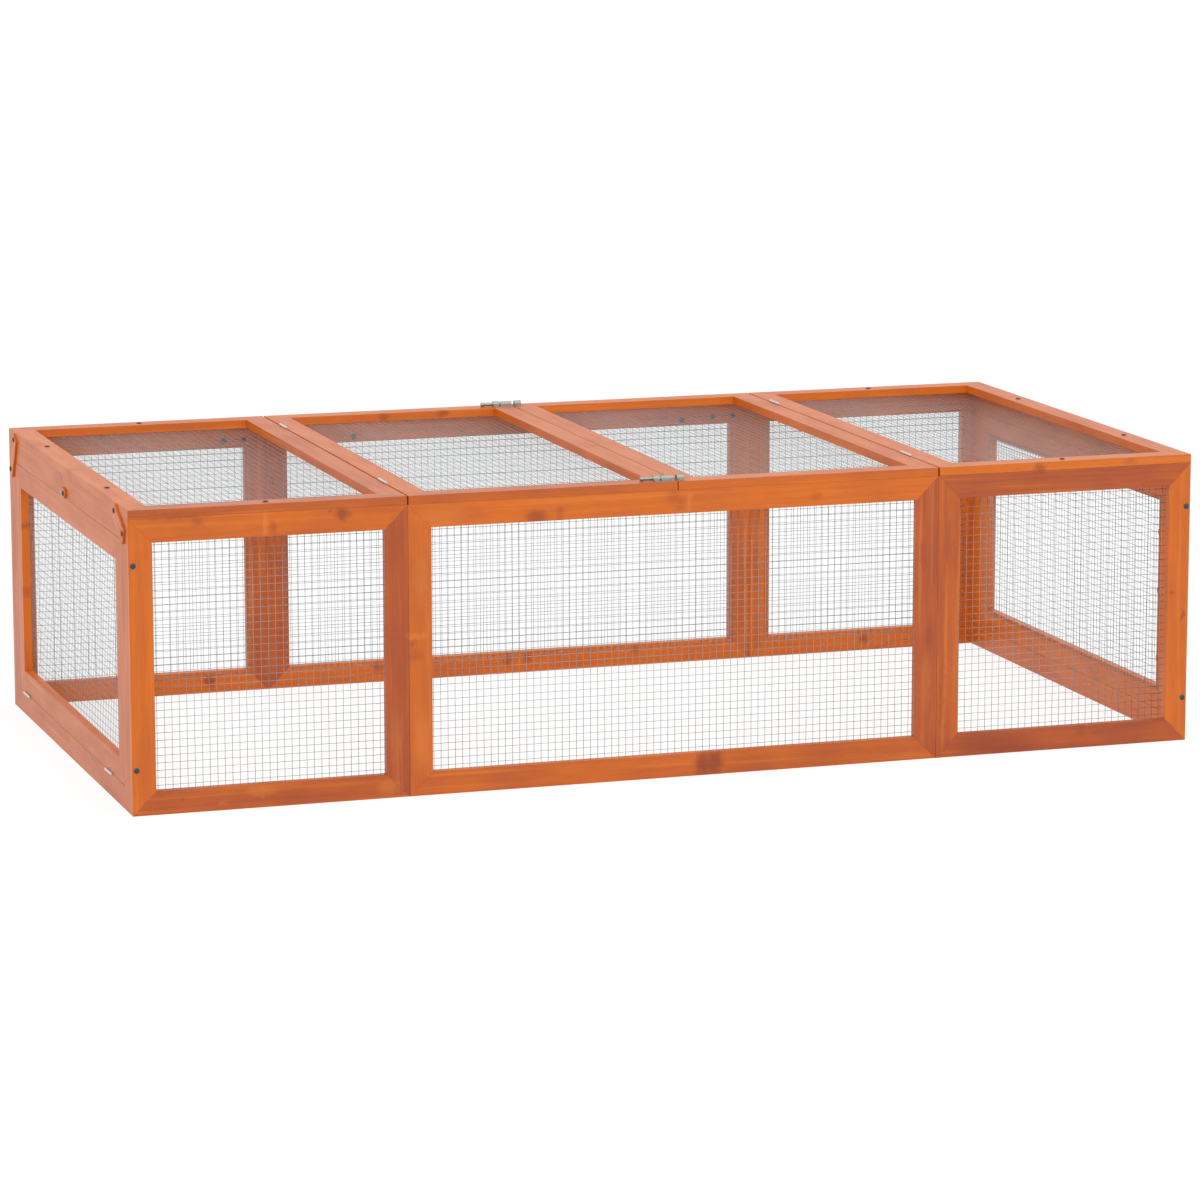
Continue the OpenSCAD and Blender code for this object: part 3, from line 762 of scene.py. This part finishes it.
def thin_wires(piece):
    """Lets the light past wires too thin to shade what stands behind them."""
    piece.visible_shadow = False
    piece.visible_diffuse = False


def wires(name):
    """Welded netting: a layer of wires on the boards and a layer across it, sunk where they meet."""
    look = bpy.context.scene.rabbit_run_netting
    stub = 3 * MM  # cut ends stand past the last crossing wire
    weld = WELD * look.wire
    lo, hi, (through, u, v), side, face = netting_side(name)
    upright = {X: (math.pi / 2, "Y"), Y: (math.pi / 2, "X"), Z: (0.0, "Z")}
    bm = bmesh.new()
    for layer, (along, step) in enumerate(((v, u), (u, v))):
        angle, about = upright[along]
        turn = Matrix.Rotation(angle, 4, about)
        span = hi[step] - lo[step] - 2 * stub
        gaps = round(span / look.mesh)
        place = (lo + hi) / 2
        place[through] = face + side * (look.wire * (0.5 + layer) - weld * layer)
        for i in range(gaps + 1):
            place[step] = lo[step] + stub + span * i / gaps
            bmesh.ops.create_cone(
                bm, cap_ends=True, segments=6, radius1=look.wire / 2, radius2=look.wire / 2,
                depth=hi[along] - lo[along], matrix=Matrix.Translation(place) @ turn)
    for strip in bm.faces:
        strip.smooth = len(strip.verts) == 4
    node = name + "_netting"
    thin_wires(put_in_frame(
        bm, name + "_wires", wire_finish(), "galvanised_netting", BODY_OF[node], node))


def staple():
    """A wire staple, its crown along X over two wires, its legs down in the wood below Z = 0."""
    crown, width, thick, leg, bend = 9 * MM, 1.0 * MM, 0.6 * MM, 7 * MM, 0.4 * MM
    seat = 2 * bpy.context.scene.rabbit_run_netting.wire
    bm = bmesh.new()
    bmesh.ops.create_cube(bm, size=1.0, matrix=Matrix.LocRotScale(
        (0, 0, seat + thick / 2), None, (crown, width, thick)))
    for x in (-crown / 2 + width, crown / 2 - width):
        bmesh.ops.bisect_plane(
            bm, geom=bm.verts[:] + bm.edges[:] + bm.faces[:], plane_co=(x, 0, 0), plane_no=(1, 0, 0))
    ends = [
        f for f in bm.faces
        if f.normal.z < -0.9 and abs(f.calc_center_median().x) > crown / 2 - width
    ]
    legs = bmesh.ops.extrude_discrete_faces(bm, faces=ends)
    verts = {v for f in legs["faces"] for v in f.verts}
    bmesh.ops.translate(bm, verts=list(verts), vec=(0, 0, -seat - leg))
    shoulders = [
        e for e in bm.edges
        if all(abs(abs(v.co.x) - crown / 2) < 10 * TOUCH and v.co.z > seat + thick / 2 for v in e.verts)
    ]
    round_edges(bm, shoulders, bend, 2)
    return to_mesh(bm, "staple")


def staples(name, template):
    """Staples round a panel's netting, inside its outer wires, a little askew as a hand sets them."""
    spacing = bpy.context.scene.rabbit_run_netting.staple_spacing
    inset = 5.2 * MM
    lo, hi, (through, u, v), side, face = netting_side(name)
    out = unit(through) * side
    draw = random.Random(name + " staples")
    bm = bmesh.new()
    for along, across in ((u, v), (v, u)):
        span = hi[along] - lo[along] - 2 * inset
        count = max(2, round(span / spacing))
        for edge in (lo[across] + inset, hi[across] - inset):
            for i in range(count):
                place = Vector((0, 0, 0))
                place[through] = face
                place[across] = edge + draw.uniform(-0.5, 0.5) * MM
                place[along] = lo[along] + inset + span * (i + 0.5 + draw.uniform(-0.1, 0.1)) / count
                crown = unit(along)
                crown.rotate(Quaternion(out, draw.uniform(-0.12, 0.12)))
                turn = Matrix((crown, out.cross(crown), out)).transposed().to_4x4()
                stamp(bm, template, Matrix.Translation(place) @ turn)
    thin_wires(put_in_frame(
        bm, name + "_staples", wire_finish(), "galvanised_netting", BODY_OF[name + "_netting"]))


class RABBITRUN_OT_netting(bpy.types.Operator):
    """Weld the wire netting of every panel and staple it to the inner faces of the boards"""

    bl_idname = "rabbit_run.netting"
    bl_label = "Wire Netting"

    def execute(self, context):
        template = staple()
        for name in PANELS:
            wires(name)
            staples(name, template)
        bpy.data.meshes.remove(template)
        return {"FINISHED"}


# ---- Screws -----------------------------------------------------------------


def screw(head_radius, head_height, shank_radius, length, recess):
    """A domed screw with a cross recess, the underside of its head at Z = 0, pointing down."""
    bm = bmesh.new()
    steps = 5
    rise = head_height * 2 / 3  # the rest of the head is its straight rim
    dome = (head_radius ** 2 + rise ** 2) / (2 * rise)
    tilts = [math.asin(head_radius / dome) * i / steps for i in range(steps + 1)]
    outline = [(dome * math.sin(t), head_height - dome + dome * math.cos(t)) for t in tilts]
    outline += [
        (head_radius, 0), (shank_radius, 0), (shank_radius, 2 * shank_radius - length), (0, -length)]
    verts = [bm.verts.new((x, 0, z)) for x, z in outline]
    edges = [bm.edges.new(pair) for pair in zip(verts, verts[1:])]
    bmesh.ops.spin(
        bm, geom=verts + edges, cent=(0, 0, 0), axis=(0, 0, 1), angle=math.tau, steps=20,
        use_merge=True)
    bmesh.ops.remove_doubles(bm, verts=bm.verts, dist=TOUCH)
    bmesh.ops.recalc_face_normals(bm, faces=bm.faces)

    def on_dome():
        return [f for f in bm.faces if f.normal.z > 0.2 and f.calc_center_median().z > 0]

    # The recess is a cross, half as wide as the head, that narrows towards its floor
    arm, reach = head_radius * 0.17, head_radius * 0.5
    for axis in (X, Y):
        for at in (-reach, -arm, arm, reach):
            split(bm, on_dome(), axis, at)
    cross = []
    for face in on_dome():
        x, y = [abs(c) for c in face.calc_center_median().xy]
        if min(x, y) < arm and max(x, y) < reach:
            cross.append(face)
    floor = bmesh.ops.extrude_face_region(bm, geom=cross)["geom"]
    bottom = [v for v in floor if isinstance(v, bmesh.types.BMVert)]
    bmesh.ops.translate(bm, verts=bottom, vec=(0, 0, -recess))
    bmesh.ops.scale(bm, verts=bottom, vec=(0.75, 0.75, 1.0))
    crisp(bm)
    return to_mesh(bm, "screw")


def driven(template, heads, draw):
    """A mesh of screws, each turned at random. A head is its place and the way out of it."""
    bm = bmesh.new()
    for place, way in heads:
        aim = Vector(way).to_track_quat("Z", "Y") @ Quaternion((0, 0, 1), draw.uniform(0, math.pi))
        stamp(bm, template, Matrix.Translation(place) @ aim.to_matrix().to_4x4())
    return bm


def screw_places(node):
    """Where the screws of a CAD node stand: outermost point, the way out and whole length."""
    bm = merged_copy(node)
    places = []
    for verts in islands(bm):
        lo, hi = limits(verts)
        size, middle = hi - lo, (lo + hi) / 2
        along = max(range(3), key=lambda a: size[a])
        # The rim of the head lies further from the screw's axis than its tip
        widest = max(verts, key=lambda v: (v.co - middle).length_squared - (v.co - middle)[along] ** 2)
        way = unit(along) if widest.co[along] > middle[along] else -unit(along)
        places.append((middle + way * size[along] / 2, way, size[along]))
    bm.free()
    return places


def dark_screws(node, draw):
    """Recessed screws in the place of a CAD node's plain ones."""
    head_height = 2.2 * MM
    places = screw_places(node)
    template = screw(
        head_height=head_height, length=places[0][2] - head_height, recess=1.3 * MM, **DARK_SCREW)
    bm = driven(template, [(top - way * head_height, way) for top, way, _ in places], draw)
    bpy.data.meshes.remove(template)
    put_in_frame(bm, "domed_" + node, screw_finish(), "dark_screws", BODY_OF[node], node)


class RABBITRUN_OT_screws(bpy.types.Operator):
    """Set the dark domed screws in the walls, tops, ties and turn buttons"""

    bl_idname = "rabbit_run.screws"
    bl_label = "Domed Screws"

    def execute(self, context):
        draw = random.Random("screws")
        for node in ("wall_screws", "top_screws", "tie_screws", "turn_button_screws"):
            dark_screws(node, draw)
        # The netting of the back wall is clamped by heads that stand on its two layers of wires
        template = screw(head_height=2 * MM, length=12 * MM, recess=1.1 * MM, **DARK_SCREW)
        layers = (2 - WELD) * context.scene.rabbit_run_netting.wire
        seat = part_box("back_middle_frame")[0].y - layers
        heads = [((LEFT_WALL + x * MM, seat, z * MM), (0, -1, 0)) for x, z in CLAMP_SCREWS]
        bm = driven(template, heads, draw)
        bpy.data.meshes.remove(template)
        put_in_frame(bm, "netting_clamp_screws", screw_finish(), "dark_screws", "root")
        return {"FINISHED"}


# ---- Hinges -----------------------------------------------------------------


def zinc_copy(node, material, slot):
    """A copy in the place of a CAD node, with its rolled and turned faces shaded round."""
    bm = merged_copy(node)
    crisp(bm, 25)
    put_in_frame(bm, node + "_zinc", material, slot, BODY_OF[node], node)


class RABBITRUN_OT_hinges(bpy.types.Operator):
    """Fit the zinc butt hinges of lids and doors, with the screws in their leaves"""

    bl_idname = "rabbit_run.hinges"
    bl_label = "Butt Hinges"

    def execute(self, context):
        # Sunk heads stand a little proud of a leaf, in the gap between the two leaves
        template = screw(
            head_radius=2.4 * MM, head_height=0.2 * MM, shank_radius=1.5 * MM, length=9 * MM,
            recess=1 * MM)
        gap, leaf, half_leaf_depth, hole_y = 3 * MM, 1.2 * MM, 6.25 * MM, 15 * MM
        draw = random.Random("hinges")
        for hinge, (out, across) in HINGES.items():
            out, across = Vector(out), Vector(across)
            for part in ("fixed_leaves", "moving_leaves", "pins"):
                zinc_copy(f"{hinge}_{part}", hinge_finish(), "zinc_hinges")
            face = max(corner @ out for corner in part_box(hinge.replace("_hinge", "_frame")))
            middles = [(lo + hi) / 2 for lo, hi in pin_limits(hinge)]
            for part, side in (("fixed_leaves", -1), ("moving_leaves", 1)):
                heads = []
                for middle in middles:
                    place = middle + out * (face - half_leaf_depth - middle @ out)
                    place += across * side * (gap / 2 - leaf)
                    heads += [(place + unit(Y) * y, across * -side) for y in (-hole_y, hole_y)]
                node = f"{hinge}_{part}"
                put_in_frame(
                    driven(template, heads, draw), node + "_screws", hinge_finish(), "zinc_hinges",
                    BODY_OF[node])
        bpy.data.meshes.remove(template)
        return {"FINISHED"}


# ---- Bolts ------------------------------------------------------------------


class RABBITRUN_OT_bolts(bpy.types.Operator):
    """Fit the barrel bolts on the lids, with the screws in their plates"""

    bl_idname = "rabbit_run.bolts"
    bl_label = "Barrel Bolts"

    def execute(self, context):
        plate, hole_y, hole_x = 1 * MM, 8.425 * MM, 3 * MM
        template = screw(
            head_radius=2.4 * MM, head_height=1.2 * MM, shank_radius=1.4 * MM, length=9 * MM,
            recess=0.8 * MM)
        draw = random.Random("bolts")
        for end in ("front", "rear"):
            for part in ("barrel", "rod", "keeper"):
                node = f"{end}_bolt_{part}"
                zinc_copy(node, bolt_finish(), "bolt_steel")
                if part == "rod":
                    continue
                lo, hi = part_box(node)
                middle = (lo + hi) / 2
                xs = (lo.x + hole_x, hi.x - hole_x) if part == "barrel" else (middle.x,)
                ys = (middle.y - hole_y, middle.y + hole_y)
                heads = [((x, y, lo.z + plate), unit(Z)) for x in xs for y in ys]
                put_in_frame(
                    driven(template, heads, draw), node + "_screws", bolt_finish(), "bolt_steel",
                    BODY_OF[node])
        bpy.data.meshes.remove(template)
        return {"FINISHED"}


# ---- Ties and turn buttons --------------------------------------------------


class RABBITRUN_OT_ties(bpy.types.Operator):
    """Cut the wooden ties and turn buttons of the ends, with eased edges"""

    bl_idname = "rabbit_run.ties"
    bl_label = "Ties and Turn Buttons"

    def execute(self, context):
        ease = context.scene.rabbit_run_hardware.wood_ease
        tone = 0.2
        for node in ("left_end_ties", "right_end_ties", "left_turn_button", "right_turn_button"):
            bm = grained(merged_copy(node))
            draw = random.Random(node)
            out = unit(X)
            grains = []  # the axes of each piece's grain, and a corner to know the piece by
            for verts in islands(bm):
                longest = max((e for v in verts for e in v.link_edges), key=lambda e: e.calc_length())
                along = (longest.verts[0].co - longest.verts[1].co).normalized()
                grains.append((Matrix((along, out.cross(along), out)), verts[0].co.copy()))
            sharp = [e for e in bm.edges if e.calc_face_angle(0) > SHARP and e.is_convex]
            round_edges(bm, sharp, ease, 2)
            crisp(bm, 25)
            for verts in islands(bm):
                middle = sum((v.co for v in verts), Vector()) / len(verts)
                axes, _ = min(grains, key=lambda grain: (grain[1] - middle).length)
                mark_grain(bm, verts, axes, middle, tone, draw)
            put_in_frame(
                bm, node + "_eased", stain_finish(), "stained_hardware_wood", BODY_OF[node], node)
        return {"FINISHED"}


# ---- Stage ------------------------------------------------------------------


def seen_ray(tree):
    """1 for rays from the camera or from a shiny or clear surface, and 0 for the rest."""
    path = add_node(tree, "ShaderNodeLightPath").outputs
    total = path["Is Camera Ray"]
    for name in ("Is Glossy Ray", "Is Transmission Ray"):
        total = add_node(tree, "ShaderNodeMath", {"operation": "ADD", "use_clamp": True}, {
            0: total, 1: path[name],
        }).outputs[0]
    return total


def floor_paint(tree, shader):
    """Matt pale floor, which fades to white where it is seen and keeps a weak shadow."""
    look = bpy.context.scene.rabbit_run_stage
    lit, own = 0.2, 0.82  # shares of the seen floor's white that lamps give and that it gives itself
    tree.nodes.remove(shader)
    plain = add_node(tree, "ShaderNodeBsdfDiffuse", None, {"Color": tuple(look.floor)})
    weak = add_node(tree, "ShaderNodeBsdfDiffuse", None, {"Color": (lit, lit, lit, 1.0)})
    glow = add_node(tree, "ShaderNodeEmission", None, {"Strength": own})
    bright = add_node(tree, "ShaderNodeAddShader", None, {0: weak.outputs[0], 1: glow.outputs[0]})
    mixed = add_node(tree, "ShaderNodeMixShader", None, {
        0: seen_ray(tree), 1: plain.outputs[0], 2: bright.outputs[0],
    })
    tree.links.new(mixed.outputs[0], tree.nodes["Material Output"].inputs["Surface"])


def white_surround(strength):
    """White where it is seen, and an even light of a given strength on matt surfaces."""
    world = bpy.data.worlds.new("white studio")
    world.use_nodes = True
    tree = world.node_tree
    light = tree.nodes["Background"]
    light.inputs["Color"].default_value = (1, 1, 1, 1)
    light.inputs["Strength"].default_value = strength
    seen = add_node(tree, "ShaderNodeBackground", None, {"Color": (1, 1, 1, 1), "Strength": 1.0})
    mixed = add_node(tree, "ShaderNodeMixShader", None, {
        0: seen_ray(tree), 1: light.outputs[0], 2: seen.outputs[0],
    })
    tree.links.new(mixed.outputs[0], tree.nodes["World Output"].inputs["Surface"])
    bpy.context.scene.world = world


class RABBITRUN_OT_stage(bpy.types.Operator):
    """Set the floor, the soft light and the camera"""

    bl_idname = "rabbit_run.stage"
    bl_label = "Stage"

    def execute(self, context):
        scene = context.scene
        look = scene.rabbit_run_stage
        horizon = 60  # metres from the run to the floor's edge, well out of sight
        bm = bmesh.new()
        bmesh.ops.create_grid(bm, x_segments=1, y_segments=1, size=horizon)
        floor = bpy.data.objects.new("floor", to_mesh(bm, "floor"))
        floor.data.materials.append(finish("pale floor", floor_paint))
        scene.collection.objects.link(floor)

        white_surround(look.surround)
        spread = math.radians(70)  # wide lamps, for soft shadows
        fill = 0.35 * look.key
        for name, strength, way in (
            ("key", look.key, (-0.55, -0.9, 1.1)),
            ("fill", fill, (1.2, -0.8, 0.8)),
        ):
            lamp = bpy.data.lights.new(name, "SUN")
            lamp.energy = strength
            lamp.angle = spread
            holder = bpy.data.objects.new(name, lamp)
            holder.rotation_euler = Vector(way).to_track_quat("Z", "Y").to_euler()
            scene.collection.objects.link(holder)

        # The camera as it was solved from corners of the run: place, turn, tip, roll and lens
        camera = bpy.data.objects.new("camera", bpy.data.cameras.new("camera"))
        camera.data.sensor_width = 36.0
        camera.data.lens = 146.26
        camera.data.clip_end = 200.0
        camera.location = (-2.5366, -7.7321, 1.7244)
        azimuth, elevation, roll = [math.radians(a) for a in (18.288, 10.537, -0.040)]
        ahead = Vector((
            math.sin(azimuth) * math.cos(elevation),
            math.cos(azimuth) * math.cos(elevation),
            -math.sin(elevation),
        ))
        aim = ahead.to_track_quat("-Z", "Y") @ Quaternion((0, 0, 1), roll)
        camera.rotation_euler = aim.to_euler()
        scene.collection.objects.link(camera)
        scene.camera = camera
        scene.view_settings.view_transform = "Standard"
        return {"FINISHED"}


# ---- Panel ------------------------------------------------------------------


class RABBITRUN_PT_build(bpy.types.Panel):
    """Settings and building steps of the rabbit run"""

    bl_label = "Rabbit Run"
    bl_idname = "RABBITRUN_PT_build"
    bl_space_type = "VIEW_3D"
    bl_region_type = "UI"
    bl_category = "Rabbit Run"

    def draw(self, context):
        for label, attribute, steps in SECTIONS:
            box = self.layout.box()
            box.label(text=label)
            settings = getattr(context.scene, attribute)
            for name in type(settings).__annotations__:
                box.prop(settings, name)
            for step in steps:
                box.operator(step.bl_idname)


SETTINGS = {
    "rabbit_run_stage": StageSettings,
    "rabbit_run_boards": BoardSettings,
    "rabbit_run_netting": NettingSettings,
    "rabbit_run_hardware": HardwareSettings,
}
SECTIONS = (
    ("Stage", "rabbit_run_stage", (RABBITRUN_OT_stage,)),
    ("Boards", "rabbit_run_boards", (RABBITRUN_OT_boards,)),
    ("Netting", "rabbit_run_netting", (RABBITRUN_OT_netting,)),
    ("Hardware", "rabbit_run_hardware", (
        RABBITRUN_OT_hinges, RABBITRUN_OT_bolts, RABBITRUN_OT_ties, RABBITRUN_OT_screws)),
)
OPERATORS = [step for _, _, steps in SECTIONS for step in steps]
CLASSES = list(SETTINGS.values()) + OPERATORS + [RABBITRUN_PT_build]


def register():
    for cls in CLASSES:
        bpy.utils.register_class(cls)
    for attribute, cls in SETTINGS.items():
        setattr(bpy.types.Scene, attribute, PointerProperty(type=cls))


def unregister():
    for attribute in SETTINGS:
        delattr(bpy.types.Scene, attribute)
    for cls in reversed(CLASSES):
        bpy.utils.unregister_class(cls)


def main():
    register()
    bpy.ops.rabbit_run.stage()
    bpy.ops.rabbit_run.boards()
    bpy.ops.rabbit_run.netting()
    bpy.ops.rabbit_run.hinges()
    bpy.ops.rabbit_run.bolts()
    bpy.ops.rabbit_run.ties()
    bpy.ops.rabbit_run.screws()


if __name__ == "__main__":
    main()
